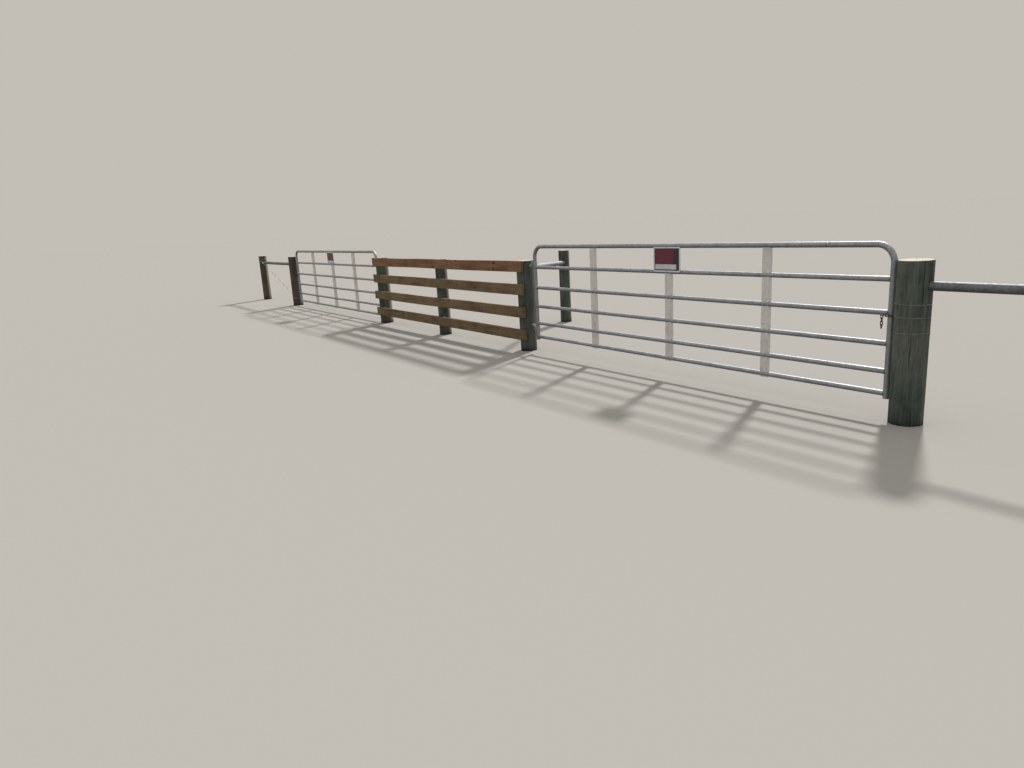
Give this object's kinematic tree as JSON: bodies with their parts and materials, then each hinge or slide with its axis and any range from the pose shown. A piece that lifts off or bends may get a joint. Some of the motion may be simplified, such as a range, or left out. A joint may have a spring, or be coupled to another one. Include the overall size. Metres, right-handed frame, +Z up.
{
  "type": "farm gateway with tubular steel gates and a board fence",
  "caption": "Tubular steel field gates hung on round timber posts either side of a board fence, with braced end posts; each gate swings into the field.",
  "frame": {"origin": "centre of the foot of the post that carries the near gate, at ground level", "axes": "+X along the fence line towards the near gate's free end, +Y away from the road into the field, +Z up"},
  "size_m": [20.9666, 2.3369, 1.4604],
  "materials": {
    "post_timber": "pressure treated round timber, weathered green-grey",
    "end_post_timber": "pressure treated round timber, weathered brown",
    "pipe_steel": "galvanised pipe, dull",
    "top_board_timber": "treated sawn board, red brown",
    "board_timber": "treated sawn board, olive brown",
    "gate_steel": "hot dip galvanised, dull spangle",
    "hinge_steel": "galvanised, dull",
    "chain_steel": "bare steel, rusted brown",
    "wire_steel": "galvanised fence wire",
    "sign_plate": "painted sheet, bare of words"
  },
  "bodies": {
    "fence": {"hinge_post": "post_timber", "board_post_left": "post_timber", "board_post_middle": "post_timber", "near_latch_post": "post_timber", "far_latch_post": "end_post_timber", "left_brace_post": "end_post_timber", "right_brace_post": "post_timber", "back_brace_post": "post_timber", "left_brace_rail": "pipe_steel", "right_brace_rail": "pipe_steel", "back_brace_rail": "pipe_steel", "left_brace_wire": "wire_steel", "fence_board_1": "top_board_timber", "fence_board_2": "board_timber", "fence_board_3": "board_timber", "fence_board_4": "board_timber", "near_gate_hook_bolts": "hinge_steel", "near_gate_chain": "chain_steel", "far_gate_hook_bolts": "hinge_steel", "far_gate_chain": "chain_steel"},
    "near_gate": {"near_gate_frame": "gate_steel", "near_gate_rail_2": "gate_steel", "near_gate_rail_3": "gate_steel", "near_gate_rail_4": "gate_steel", "near_gate_rail_5": "gate_steel", "near_gate_rail_6": "gate_steel", "near_gate_stay_1": "gate_steel", "near_gate_stay_2": "gate_steel", "near_gate_stay_3": "gate_steel", "near_gate_sign": "sign_plate", "near_gate_hinge_straps": "hinge_steel"},
    "far_gate": {"far_gate_frame": "gate_steel", "far_gate_rail_2": "gate_steel", "far_gate_rail_3": "gate_steel", "far_gate_rail_4": "gate_steel", "far_gate_rail_5": "gate_steel", "far_gate_rail_6": "gate_steel", "far_gate_stay_1": "gate_steel", "far_gate_stay_2": "gate_steel", "far_gate_stay_3": "gate_steel", "far_gate_sign": "sign_plate", "far_gate_hinge_straps": "hinge_steel"}
  },
  "joints": [
    {"name": "near_gate_hinge", "type": "hinge", "parent": "fence", "child": "near_gate", "pos_m": [0.165, 0, 0], "axis": [0, 0, 1], "range_deg": [0, 110]},
    {"name": "far_gate_hinge", "type": "hinge", "parent": "fence", "child": "far_gate", "pos_m": [-4.885, 0, 0], "axis": [0, 0, -1], "range_deg": [0, 110]}
  ]
}
